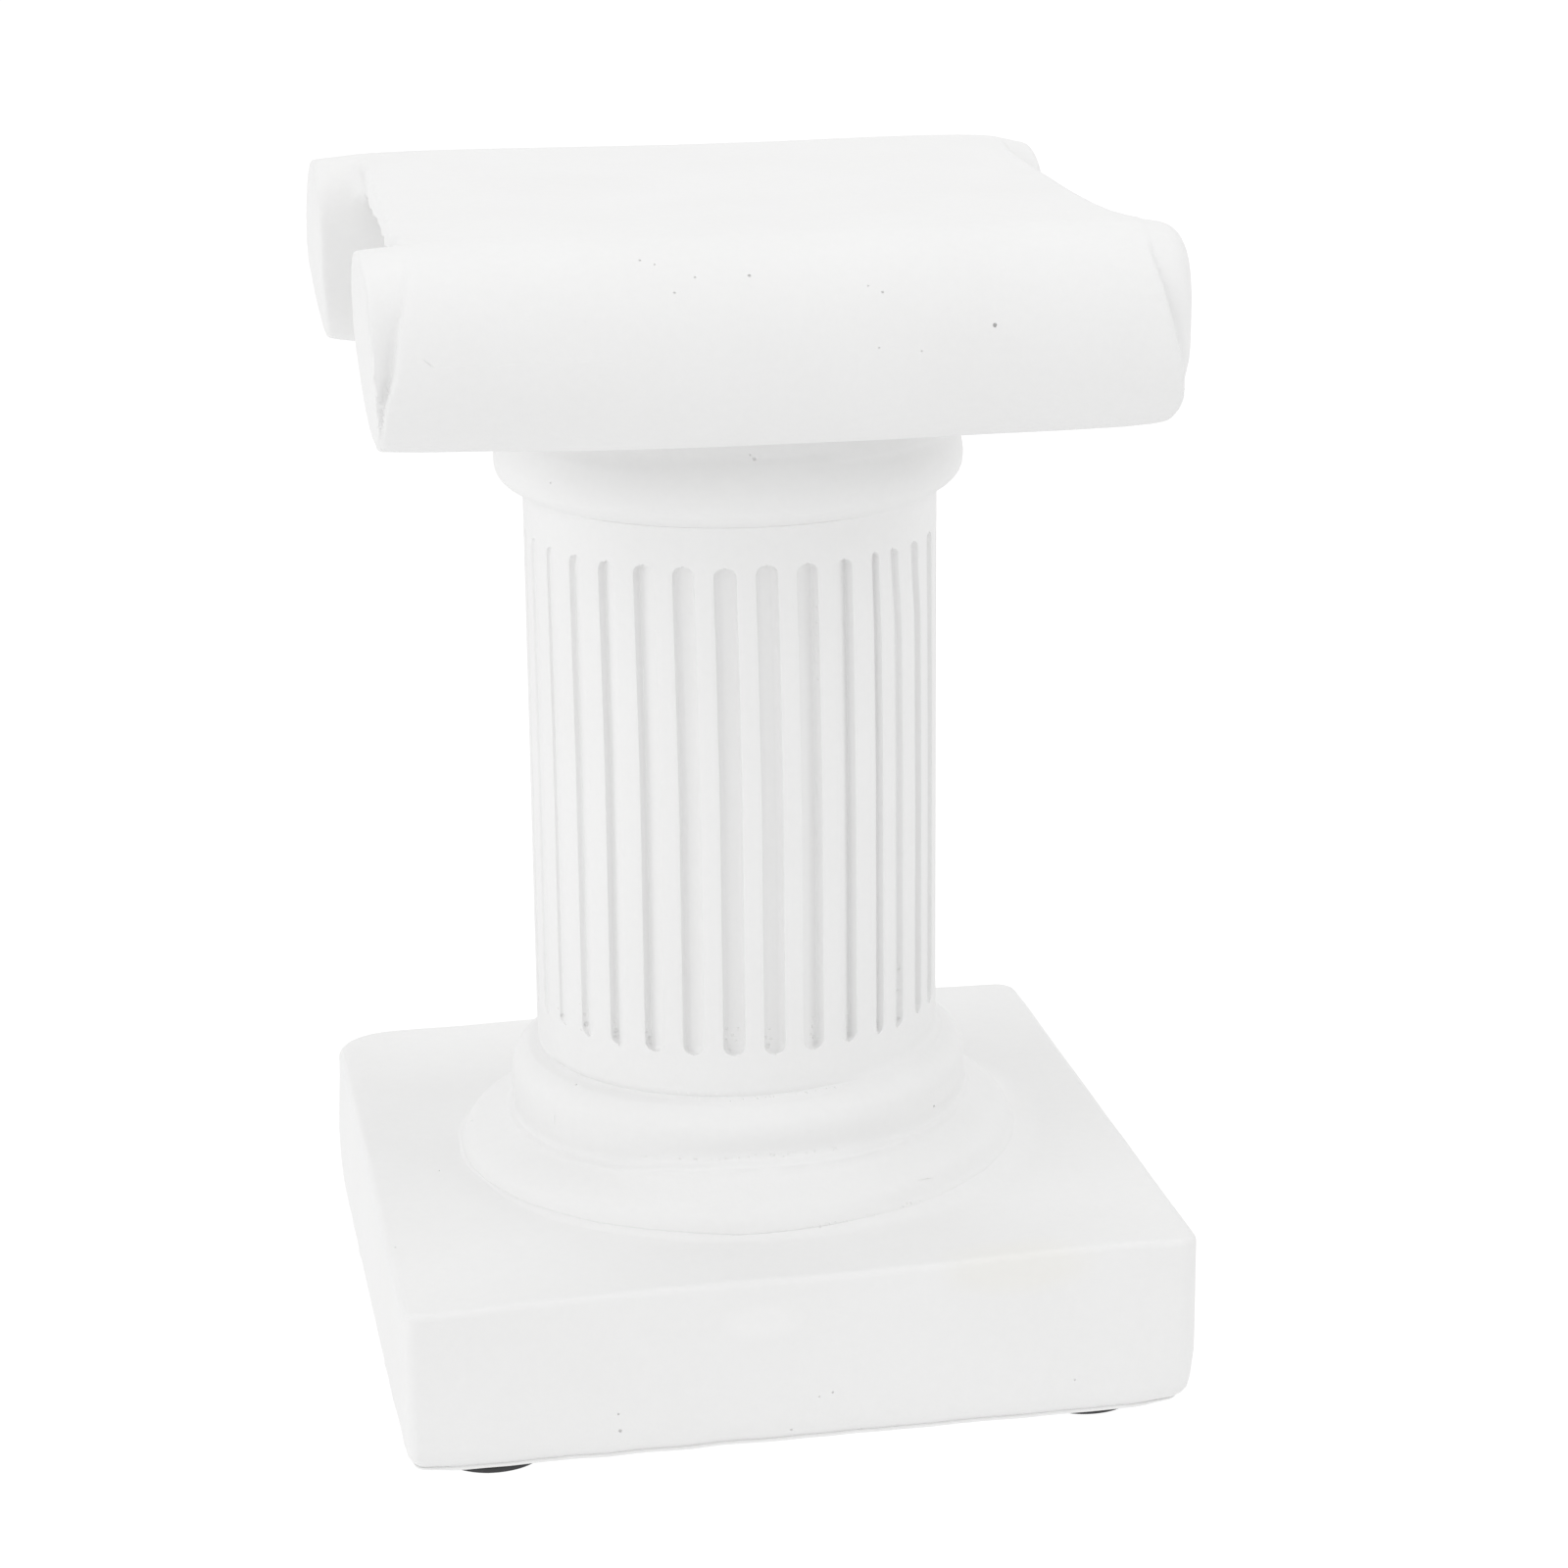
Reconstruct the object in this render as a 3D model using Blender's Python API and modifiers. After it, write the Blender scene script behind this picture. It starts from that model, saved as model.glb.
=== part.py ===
"""A small cast plaster column: square plinth, two base mouldings, a fluted shaft,
a rounded echinus and a scroll capital, on four thin round pads.

Metres, +Z up. The origin is at the middle of the underside of the pads, the front is -Y
and the scrolls run along X.
"""
import math

import bmesh
import bpy
from mathutils import Matrix

# ------------------------------------------------------------------ sizes
GAP = 0.0003                     # left between touching pieces

# round pads under the plinth
PAD_R = 0.0070
PAD_T = 0.0004
PADS = {                         # stuck on by hand, so not quite symmetric
    "front_left": (-0.0390, -0.0420),
    "front_right": (0.0370, -0.0411),
    "back_left": (-0.0380, 0.0410),
    "back_right": (0.0380, 0.0410),
}

# plinth
PLINTH_W = 0.1014                # along X, over the slight swell of its left side
PLINTH_D = 0.0990                # along Y
PLINTH_H = 0.0224
PLINTH_TOP_R = 0.0010            # small rounding of the upper edges
PLINTH_BOTTOM_R = 0.0022         # fuller rounding of the lower edges
CORNER_R_FRONT_LEFT = 0.0016     # upright edges
CORNER_R_FRONT_RIGHT = 0.0026
CORNER_R_BACK_RIGHT = 0.0030
CORNER_R_BACK_LEFT = 0.0070

Z_UNDER = PAD_T + GAP            # underside of the plinth
Z_TOP_PLINTH = Z_UNDER + PLINTH_H

# shaft and flutes (heights from the plinth's top)
SHAFT_R = 0.0265
SHAFT_Z0 = 0.0151
SHAFT_Z1 = 0.0886
FLUTES = 32
FLUTE_W = 0.0030                 # width at the surface
FLUTE_DEPTH = 0.0013
FLUTE_Z0 = 0.0203                # lower round end
FLUTE_Z1 = 0.0838                # upper round end
# degrees that some flutes at the right were cast out of their place, by number from the front
FLUTE_OUT = {2: -0.4, 3: -1.9, 4: -4.1, 5: -3.9, 6: -5.2, 7: -4.0, 8: -2.5, 9: -1.0}

# capital (heights from the plinth's top)
CAPITAL_OFF_X = -0.0013          # the capital sits a little to the left, as cast
BOLSTER_R = 0.01255
BOLSTER_Y = 0.03775              # axis of the front and rear scroll
BOLSTER_Z = 0.11475
SLAB_UNDER = 0.12330             # underside of the slab between the scrolls
SHEET_X_TOP = 0.0428             # half length of the scroll sheet, upper part
SHEET_X_LOW = 0.0468             # and at its lower edge
SHEET_BREAK_Z = 0.0078           # above the scroll axis the sheet's end is upright
END_X_TOP = 0.0490               # half length over the end discs, at the top
END_X_LOW = 0.0474               # and at the bottom
DISC_R = 0.01245                 # rim of an end disc
COVE_DEPTH = 0.00120             # deepest part of the hollow between the sheet's edge and the rim
COVE_FADE_UP = 0.86              # the hollow fades out above this (sine of the angle above the axis)
COVE_FULL_UP = 0.20              # and is full below this
COVE_RIM_X = 0.0472              # where the hollow meets the rim
CORE_R = 0.0276                  # round neck between echinus and slab

TURN_STEPS = 64                  # segments of the turned parts


# ------------------------------------------------------------------ helpers
def clear_scene():
    for obj in list(bpy.data.objects):
        bpy.data.objects.remove(obj, do_unlink=True)


def collection(name):
    col = bpy.data.collections.new(name)
    bpy.context.scene.collection.children.link(col)
    return col


def material(name, colour, roughness, metallic=0.0):
    mat = bpy.data.materials.new(name)
    mat.use_nodes = True
    bsdf = mat.node_tree.nodes["Principled BSDF"]
    bsdf.inputs["Base Color"].default_value = (*colour, 1.0)
    bsdf.inputs["Roughness"].default_value = roughness
    bsdf.inputs["Metallic"].default_value = metallic
    return mat


def object_from_bmesh(name, bm, col):
    mesh = bpy.data.meshes.new(name)
    bm.normal_update()
    bm.to_mesh(mesh)
    bm.free()
    obj = bpy.data.objects.new(name, mesh)
    col.objects.link(obj)
    return obj


def as_cutter(obj):
    obj.hide_render = True
    obj.display_type = "WIRE"
    return obj


def boolean(obj, other, operation):
    mod = obj.modifiers.new(operation.lower() + "_" + other.name, "BOOLEAN")
    mod.operation = operation
    mod.solver = "EXACT"
    mod.object = other
    return mod


def turned(name, profile, col, steps=TURN_STEPS):
    """Screws a profile of (radius, height) pairs, given from top to bottom, about Z."""
    bm = bmesh.new()
    verts = [bm.verts.new((r, 0.0, z)) for r, z in profile]
    for a, b in zip(verts, verts[1:]):
        bm.edges.new((a, b))
    obj = object_from_bmesh(name, bm, col)
    mod = obj.modifiers.new("turn", "SCREW")
    mod.axis = "Z"
    mod.angle = math.tau
    mod.steps = steps
    mod.render_steps = steps
    mod.use_merge_vertices = True
    mod.merge_threshold = 0.00002
    mod.use_normal_calculate = False
    return obj


def arc(cx, cz, rx, rz, a0, a1, n):
    """Points of an elliptical arc, angles in degrees."""
    pts = []
    for i in range(n + 1):
        a = math.radians(a0 + (a1 - a0) * i / n)
        pts.append((cx + rx * math.cos(a), cz + rz * math.sin(a)))
    return pts


# ------------------------------------------------------------------ pieces
def build_plinth(col):
    bm = bmesh.new()
    bmesh.ops.create_cube(bm, size=1.0)
    bmesh.ops.scale(bm, vec=(PLINTH_W, PLINTH_D, PLINTH_H), verts=bm.verts)
    bmesh.ops.translate(bm, vec=(0.0, 0.0, Z_UNDER + PLINTH_H / 2), verts=bm.verts)
    corners = {(-1, -1): (CORNER_R_FRONT_LEFT, 3), (1, -1): (CORNER_R_FRONT_RIGHT, 4),
               (1, 1): (CORNER_R_BACK_RIGHT, 4), (-1, 1): (CORNER_R_BACK_LEFT, 6)}
    for (sx, sy), (radius, segments) in corners.items():
        edges = []
        for e in bm.edges:
            a, b = e.verts
            mid = (a.co + b.co) / 2
            upright = abs(a.co.x - b.co.x) < 1e-7 and abs(a.co.y - b.co.y) < 1e-7
            if upright and abs(mid.x - sx * PLINTH_W / 2) < 1e-6 and abs(mid.y - sy * PLINTH_D / 2) < 1e-6:
                edges.append(e)
        bmesh.ops.bevel(bm, geom=edges, offset=radius, segments=segments, profile=0.5, affect="EDGES")
    for z, radius, segments in ((Z_UNDER, PLINTH_BOTTOM_R, 4), (Z_TOP_PLINTH, PLINTH_TOP_R, 3)):
        edges = [e for e in bm.edges if all(abs(v.co.z - z) < 1e-7 for v in e.verts)
                 and any(abs(f.normal.z) < 0.5 for f in e.link_faces)]
        # the small front-left corner limits how far its lower edge can be rounded
        limit = min(radius, CORNER_R_FRONT_LEFT * 0.98)
        bmesh.ops.bevel(bm, geom=edges, offset=min(radius, limit), segments=segments, profile=0.5, affect="EDGES")
    return object_from_bmesh("plinth_body", bm, col)


def column_profile():
    """Base mouldings, shaft and echinus, from the core inside the capital down into the plinth."""
    z = lambda h: Z_TOP_PLINTH + h
    pts = [(0.0, z(0.1236)), (CORE_R, z(0.1236))]
    # ledge on the echinus
    pts += [(CORE_R, z(0.0975)), (0.0282, z(0.0971)), (0.0287, z(0.0968))]
    # echinus: fullest near its lower third, drawn in to the neck
    pts += [(0.0291, z(0.0956)), (0.0296, z(0.0943)), (0.0299, z(0.0930)),
            (0.0297, z(0.0918)), (0.0291, z(0.0908)), (0.0280, z(0.0897)), (0.0272, z(0.0890))]
    pts += [(SHAFT_R, z(SHAFT_Z1)), (SHAFT_R, z(SHAFT_Z0))]
    # upper torus
    pts += [(0.0276, z(0.0145))]
    pts += [(r, h) for r, h in arc(0.0270, z(0.0116), 0.0030, 0.0027, 62, -28, 4)]
    # hollow between the tori, widening into the lower torus
    pts += [(0.0297, z(0.0092)), (0.0299, z(0.0079)), (0.0309, z(0.0068)), (0.0323, z(0.0057)),
            (0.0340, z(0.0045)), (0.0355, z(0.0032)), (0.0367, z(0.0018)), (0.0373, z(0.0008)), (0.0371, z(0.0))]
    pts += [(0.0371, z(-0.0060)), (0.0, z(-0.0060))]
    return pts


def build_turned(col):
    return turned("turned_body", column_profile(), col)


def build_flutes(col):
    """One long pill per flute, round at both ends, its axis just outside the shaft's surface."""
    r = (FLUTE_W * FLUTE_W / 4 + FLUTE_DEPTH * FLUTE_DEPTH) / (2 * FLUTE_DEPTH)
    out = r - FLUTE_DEPTH
    half = (FLUTE_Z1 - FLUTE_Z0) / 2 - FLUTE_W / 2
    mid = Z_TOP_PLINTH + (FLUTE_Z0 + FLUTE_Z1) / 2
    bands = 7
    wide = math.sin(math.pi * (bands // 2) / bands)
    bm = bmesh.new()
    for k in range(FLUTES):
        a = math.tau * k / FLUTES + math.radians(FLUTE_OUT.get(k, 0.0))
        made = bmesh.ops.create_uvsphere(bm, u_segments=12, v_segments=bands, radius=r / wide)["verts"]
        for v in made:
            v.co.z *= (FLUTE_W / 2) / (r / wide)
            v.co.z += half if v.co.z > 0 else -half
        place = Matrix.Rotation(a, 4, "Z") @ Matrix.Translation((0.0, -(SHAFT_R + out), mid))
        bmesh.ops.transform(bm, matrix=place @ Matrix.Rotation(math.radians(15), 4, "Z"), verts=made)
    return as_cutter(object_from_bmesh("flute_cutter", bm, col))


def build_sheet(col):
    """Slab and the two scrolls as one outline in the YZ plane, drawn out along X."""
    curve = bpy.data.curves.new("sheet_outline", "CURVE")
    curve.dimensions = "2D"
    curve.fill_mode = "BOTH"
    curve.extrude = SHEET_X_LOW
    rise = SLAB_UNDER - BOLSTER_Z
    inner = math.degrees(math.asin(rise / BOLSTER_R))
    n = 30
    pts = []
    for i in range(n + 1):
        a = math.radians(90 + (360 + inner - 90) * i / n)
        pts.append((-BOLSTER_Y + -BOLSTER_R * math.cos(a) * -1, BOLSTER_Z + BOLSTER_R * math.sin(a)))
    pts += [(-y, z) for y, z in reversed(pts)]
    spline = curve.splines.new("POLY")
    spline.points.add(len(pts) - 1)
    for p, (y, z) in zip(spline.points, pts):
        p.co = (y, Z_TOP_PLINTH + z, 0.0, 1.0)
    spline.use_cyclic_u = True
    obj = bpy.data.objects.new("sheet_curve", curve)
    col.objects.link(obj)
    # the outline's own X and Y become the world's Y and Z
    obj.matrix_world = Matrix(((0, 0, 1, CAPITAL_OFF_X), (1, 0, 0, 0), (0, 1, 0, 0), (0, 0, 0, 1)))
    bpy.context.view_layer.update()
    depsgraph = bpy.context.evaluated_depsgraph_get()
    mesh = bpy.data.meshes.new_from_object(obj.evaluated_get(depsgraph))
    mesh.transform(obj.matrix_world)
    bm = bmesh.new()
    bm.from_mesh(mesh)
    bmesh.ops.remove_doubles(bm, verts=bm.verts, dist=0.00001)
    bmesh.ops.recalc_face_normals(bm, faces=bm.faces)
    bpy.data.objects.remove(obj, do_unlink=True)
    bpy.data.meshes.remove(mesh)
    return object_from_bmesh("sheet_body", bm, col)


def wedge(name, outline, half_y, col):
    """A cutter: an outline of (x, z) points drawn out along Y."""
    bm = bmesh.new()
    front = [bm.verts.new((x, -half_y, z)) for x, z in outline]
    face = bm.faces.new(front)
    made = bmesh.ops.extrude_face_region(bm, geom=[face])
    moved = [g for g in made["geom"] if isinstance(g, bmesh.types.BMVert)]
    bmesh.ops.translate(bm, vec=(0.0, 2 * half_y, 0.0), verts=moved)
    bmesh.ops.recalc_face_normals(bm, faces=bm.faces)
    return as_cutter(object_from_bmesh(name, bm, col))


def build_sheet_trims(col):
    """Trim the sheet's two ends: upright above, leaning out to its lower edge."""
    z = lambda h: Z_TOP_PLINTH + BOLSTER_Z + h
    cutters = []
    for side, name in ((-1, "left"), (1, "right")):
        x = lambda v: CAPITAL_OFF_X + side * v
        outline = [(x(SHEET_X_TOP), z(0.016)), (x(SHEET_X_TOP), z(SHEET_BREAK_Z)),
                   (x(SHEET_X_LOW), z(-0.0095)), (x(0.056), z(-0.0095)), (x(0.056), z(0.016))]
        cutters.append(wedge("sheet_trim_" + name, outline, 0.060, col))
    return cutters


def scroll_end_radius(up, x):
    """Radius of a scroll end: flush with the sheet on top, hollowed in towards its rim below.

    up is the sine of the angle above the scroll's axis, x the distance from the capital's middle.
    """
    fade = min(1.0, max(0.0, (COVE_FADE_UP - up) / (COVE_FADE_UP - COVE_FULL_UP)))
    fade = fade * fade * (3.0 - 2.0 * fade)
    reach = min(1.0, max(0.0, (COVE_RIM_X - x) / (COVE_RIM_X - SHEET_X_TOP)))
    return DISC_R - COVE_DEPTH * fade * reach ** 1.5


def build_scroll_ends(col):
    """The four scroll ends, each a loft of rings from inside the sheet to past the end face."""
    stations = [0.0380, 0.0400, SHEET_X_TOP, 0.0440, 0.0452, 0.0462, COVE_RIM_X, 0.0500]
    around = 36
    ends = []
    for sx, nx in ((-1, "left"), (1, "right")):
        for sy, ny in ((-1, "front"), (1, "back")):
            bm = bmesh.new()
            rings = []
            for x in stations:
                ring = []
                for i in range(around):
                    a = math.tau * i / around
                    r = scroll_end_radius(math.sin(a), x)
                    ring.append(bm.verts.new((CAPITAL_OFF_X + sx * x, sy * BOLSTER_Y + r * math.cos(a),
                                              Z_TOP_PLINTH + BOLSTER_Z + r * math.sin(a))))
                rings.append(ring)
            for a, b in zip(rings, rings[1:]):
                for i in range(around):
                    j = (i + 1) % around
                    bm.faces.new((a[i], a[j], b[j], b[i]))
            bm.faces.new(rings[0])
            bm.faces.new(rings[-1])
            bmesh.ops.recalc_face_normals(bm, faces=bm.faces)
            ends.append(as_cutter(object_from_bmesh("scroll_end_%s_%s" % (ny, nx), bm, col)))
    return ends


def build_end_trims(col):
    """Trim the end faces, which lean in a little towards the bottom."""
    z = lambda h: Z_TOP_PLINTH + BOLSTER_Z + h
    cutters = []
    slope = (END_X_TOP - END_X_LOW) / (2 * DISC_R)
    for side, name in ((-1, "left"), (1, "right")):
        x = lambda v: CAPITAL_OFF_X + side * v
        top = END_X_TOP + slope * (0.016 - DISC_R)
        low = END_X_LOW - slope * (0.016 - DISC_R)
        outline = [(x(top), z(0.016)), (x(low), z(-0.016)), (x(0.058), z(-0.016)), (x(0.058), z(0.016))]
        cutters.append(wedge("end_trim_" + name, outline, 0.060, col))
    return cutters


def build_pads(col, mat):
    for name, (x, y) in PADS.items():
        bm = bmesh.new()
        bmesh.ops.create_cone(bm, cap_ends=True, segments=32, radius1=PAD_R, radius2=PAD_R, depth=PAD_T)
        bmesh.ops.translate(bm, vec=(x, y, PAD_T / 2), verts=bm.verts)
        pad = object_from_bmesh("foot_pad_" + name, bm, col)
        pad.data.materials.append(mat)
        pad.data.shade_smooth()
        pad.data.set_sharp_from_angle(angle=math.radians(40))


def main():
    clear_scene()
    parts = collection("roman_column")
    cutters = collection("cutters")
    plaster = material("plaster", (0.82, 0.82, 0.81), 0.85)
    rubber = material("pad_rubber", (0.03, 0.03, 0.032), 0.7)

    column = build_plinth(parts)
    column.name = column.data.name = "column"
    turned_body = as_cutter(build_turned(cutters))
    boolean(column, turned_body, "UNION")
    boolean(column, build_flutes(cutters), "DIFFERENCE")
    sheet = as_cutter(build_sheet(cutters))
    for trim in build_sheet_trims(cutters):
        boolean(sheet, trim, "DIFFERENCE")
    boolean(column, sheet, "UNION")
    for end in build_scroll_ends(cutters):
        boolean(column, end, "UNION")
    for trim in build_end_trims(cutters):
        boolean(column, trim, "DIFFERENCE")
    column.data.materials.append(plaster)
    column.data.shade_smooth()
    column.data.set_sharp_from_angle(angle=math.radians(35))

    build_pads(parts, rubber)


main()
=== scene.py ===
"""A small cast plaster column on four stick-on pads, on a plain pale floor in soft light.

All working lengths are in millimetres. Heights in the sizes below are counted from the top of
the plinth, which is Z_TOP above the floor. The front is -Y, the scrolls run along X.
"""

import math

import bmesh
import bpy
import numpy as np
from mathutils import Matrix, Vector
from mathutils.bvhtree import BVHTree


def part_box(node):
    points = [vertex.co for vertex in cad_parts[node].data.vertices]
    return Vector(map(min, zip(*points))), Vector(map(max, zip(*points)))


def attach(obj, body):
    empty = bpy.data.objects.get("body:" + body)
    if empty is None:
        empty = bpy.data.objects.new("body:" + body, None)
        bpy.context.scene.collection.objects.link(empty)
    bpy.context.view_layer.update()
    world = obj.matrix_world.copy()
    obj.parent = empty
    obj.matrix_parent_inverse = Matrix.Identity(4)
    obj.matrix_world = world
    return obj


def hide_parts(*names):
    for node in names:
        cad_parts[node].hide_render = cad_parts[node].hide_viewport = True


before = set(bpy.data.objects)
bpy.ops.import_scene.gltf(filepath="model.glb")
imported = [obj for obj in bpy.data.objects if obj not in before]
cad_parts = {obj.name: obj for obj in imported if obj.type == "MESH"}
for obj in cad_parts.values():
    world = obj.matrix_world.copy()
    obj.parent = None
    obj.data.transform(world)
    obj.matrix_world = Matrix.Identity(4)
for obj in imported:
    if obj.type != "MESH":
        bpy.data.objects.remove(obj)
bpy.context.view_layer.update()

MM = 0.001
Z_TOP = 23.1                     # top of the plinth above the floor
Z_UNDER = 0.7                    # underside of the plinth above the floor
TAU = math.tau

# ------------------------------------------------------------------ plain helpers


def smooth(a, b, x):
    t = np.clip((np.asarray(x, float) - a) / (b - a), 0.0, 1.0)
    return t * t * (3.0 - 2.0 * t)


def smin(a, b, k):
    h = np.maximum(k - np.abs(a - b), 0.0) / k
    return np.minimum(a, b) - h * h * k * 0.25


def smax(a, b, k):
    return -smin(-a, -b, k)


def waves(P, size, seed, count=8):
    """Smooth, repeatable unevenness of about unit height: sine waves of roughly one size in many directions."""
    rng = np.random.default_rng(seed)
    out = np.zeros(len(P))
    for _ in range(count):
        k = rng.normal(size=3)
        k *= TAU / size * rng.uniform(0.7, 1.4) / np.linalg.norm(k)
        out += np.sin(P @ k + rng.uniform(0, TAU))
    return out / math.sqrt(count / 2)


def mesh_object(name, verts, faces, smooth_shade=True):
    mesh = bpy.data.meshes.new(name)
    mesh.from_pydata([tuple(v) for v in np.asarray(verts, float) * MM], [], faces)
    mesh.update()
    obj = bpy.data.objects.new(name, mesh)
    bpy.context.scene.collection.objects.link(obj)
    if smooth_shade:
        mesh.shade_smooth()
    return obj


def apply_modifiers(obj):
    bpy.context.view_layer.update()
    depsgraph = bpy.context.evaluated_depsgraph_get()
    mesh = bpy.data.meshes.new_from_object(obj.evaluated_get(depsgraph))
    old = obj.data
    obj.modifiers.clear()
    obj.data = mesh
    bpy.data.meshes.remove(old)
    return obj


# ------------------------------------------------------------------ plinth, mouldings and shaft
PLINTH_LEFT, PLINTH_RIGHT = 50.12, 50.0
PLINTH_FRONT, PLINTH_BACK = 49.40, 49.42
CORNERS = {"fl": 1.7, "fr": 2.5, "br": 3.0, "bl": 8.0}
RING = 256                       # columns round the plinth and the mouldings
FLUTES = 32
SHAFT_R = 26.5
HALF_PITCH = SHAFT_R * math.pi / FLUTES
FLUTE_HALF = 1.42
FLUTE_LOW, FLUTE_HIGH = 20.5, 83.9
FOOT_TILT, NECK_TILT = 0.028, 0.0244     # the base mouldings were cast a little out of level
# the flutes by their turn from the front, to the right positive: how deep they are, and how far they were cast out of place
FLUTE_DEEP = ((-180, 1.2), (-125, 1.0), (-95, 0.32), (-72, 0.46), (-60, 0.80), (-48, 1.15), (-36, 1.4), (-20, 1.45), (0, 1.5), (11, 1.65), (23, 1.5),
              (34, 1.1), (45, 1.0), (56, 1.0), (68, 0.78), (90, 0.7), (130, 1.1), (180, 1.2))
FLUTE_OUT = ((-180, 0), (11.25, 0), (22.5, -0.4), (33.75, -0.8), (45, -4.0), (56.25, -3.9), (67.5, -5.2), (78.75, -4.0), (90, -2.5), (101.25, -1.0),
             (115, 0), (180, 0))
FLUTE_OUT_ABOVE = ((-180, 0), (22.5, -0.2), (33.75, -0.5), (45, -1.4), (56.25, -2.1), (67.5, -0.4), (90, 0), (180, 0))

# how far the left side stands out at each height: the side of the mould had bowed
LEFT_BOW = ((-22.4, 0.14), (-18.6, 0.20), (-16.3, 0.32), (-14.0, 0.41), (-11.8, 0.44), (-9.5, 0.36), (-7.3, 0.24), (-5.0, 0.10),
            (-2.0, 0.0), (2.0, 0.0))
# the lower edge, down to a fine lip of flash: height, inset, and what a corner adds to the inset
LOWER_EDGE = ((-17.0, 0.0, 0.0), (-19.0, 0.05, 0.02), (-20.4, 0.16, 0.12), (-21.2, 0.40, 0.35), (-21.7, 0.68, 0.5), (-21.88, 0.84, 0.6),
              (-21.95, 0.50, 0.7), (-22.03, 0.44, 0.75), (-22.18, 0.44, 0.8), (-22.23, 0.52, 0.85), (-22.25, 0.90, 0.9), (-22.37, 0.98, 0.9), (-22.4, 1.5, 0.9))

# radius at each height of the base mouldings
CREASE_R, CREASE_H = 37.0, 1.05          # where the lower moulding meets the skirt of plaster round its foot
BASE_PROFILE = np.array([
    (1.05, 36.98), (1.15, 37.0), (1.4, 36.98), (1.9, 36.82), (2.4, 36.5), (3.0, 35.95), (3.75, 35.05), (4.5, 34.05), (5.25, 33.2),
    (6.0, 32.38), (7.0, 31.3), (7.6, 30.72), (7.85, 30.48), (8.0, 30.28), (8.2, 30.0), (8.5, 29.80), (8.9, 29.72), (9.4, 29.78),
    (10.0, 29.93), (10.7, 30.07), (11.4, 30.08), (12.1, 29.92), (12.8, 29.5), (13.5, 28.8), (14.1, 27.98), (14.4, 27.4), (14.62, 26.95),
    (14.85, 26.62), (15.15, 26.5), (17.0, 26.5)])


def base_radius(h):
    """Radius of the base mouldings at a height, a smooth curve through the profile's points."""
    H, R = BASE_PROFILE[:, 0], BASE_PROFILE[:, 1]
    h = np.asarray(h, float)
    i = np.clip(np.searchsorted(H, h) - 1, 0, len(H) - 2)
    m = np.gradient(R, H)
    w = H[i + 1] - H[i]
    t = np.clip((h - H[i]) / w, 0, 1)
    return ((1 + 2 * t) * (1 - t) ** 2 * R[i] + t * (1 - t) ** 2 * w * m[i]
            + t * t * (3 - 2 * t) * R[i + 1] + t * t * (t - 1) * w * m[i + 1])


FRONT_EDGE = ((-50, -1.1), (-42, -1.05), (-37, -0.68), (-27, -0.48), (-18, -0.42), (-8, -0.34), (8, -0.28), (18, -0.05), (30, 0.28), (42, 0.38), (50, 0.34))


def plinth_top(x, y):
    """Height of the plinth's upper face: it leans a little to the left and sags at the front left corner."""
    x, y = np.asarray(x, float), np.asarray(y, float)
    base = 0.0055 * x
    fx, fz = zip(*FRONT_EDGE)
    edge = np.interp(x, fx, fz)
    w = smooth(-34.0, -49.0, y)
    P = np.stack([x, y, np.zeros_like(x)], axis=-1).reshape(-1, 3)
    uneven = waves(P, 26.0, 11).reshape(x.shape) * 0.05 + waves(P, 9.0, 12).reshape(x.shape) * 0.018
    return base * (1 - w) + edge * w + uneven


def outline(inset, lean, bow=0.0):
    """The plinth's outline drawn in by inset, RING points counter-clockwise from the middle of the left side.

    inset is one number or one for each point.
    """
    def drawn(i):
        left, right = PLINTH_LEFT - i, PLINTH_RIGHT - i - lean
        front, back = PLINTH_FRONT - i, PLINTH_BACK - i
        corners = [(-left, -front, CORNERS["fl"], 180), (right, -front, CORNERS["fr"], 270),
                   (right, back, CORNERS["br"], 0), (-left, back, CORNERS["bl"], 90)]
        arcs = []
        for cx, cy, radius, start in corners:
            r = max(radius - i, 0.25)
            mx, my = cx - math.copysign(r, cx), cy - math.copysign(r, cy)
            arcs.append([(mx + r * math.cos(math.radians(start + 9 * j)), my + r * math.sin(math.radians(start + 9 * j)))
                         for j in range(11)])
        pts = []
        for k in range(4):
            pts += arcs[k]
            a, b = np.array(arcs[k][-1]), np.array(arcs[(k + 1) % 4][0])
            pts += [tuple(a + (b - a) * j / 54) for j in range(1, 54)]
        return np.roll(np.array(pts), 27, axis=0)      # point 0 faces 180 degrees, the front left corner is at point 32

    if np.ndim(inset) == 0:
        pts = drawn(float(inset))
    else:
        low, high = drawn(0.0), drawn(4.0)
        pts = low + (high - low) * (np.asarray(inset) / 4.0)[:, None]
    x, y = pts[:, 0], pts[:, 1]
    pts[:, 0] = x - bow * smooth(-38.0, -48.0, x) * smooth(-47.0, -8.0, y)
    return pts


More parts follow.
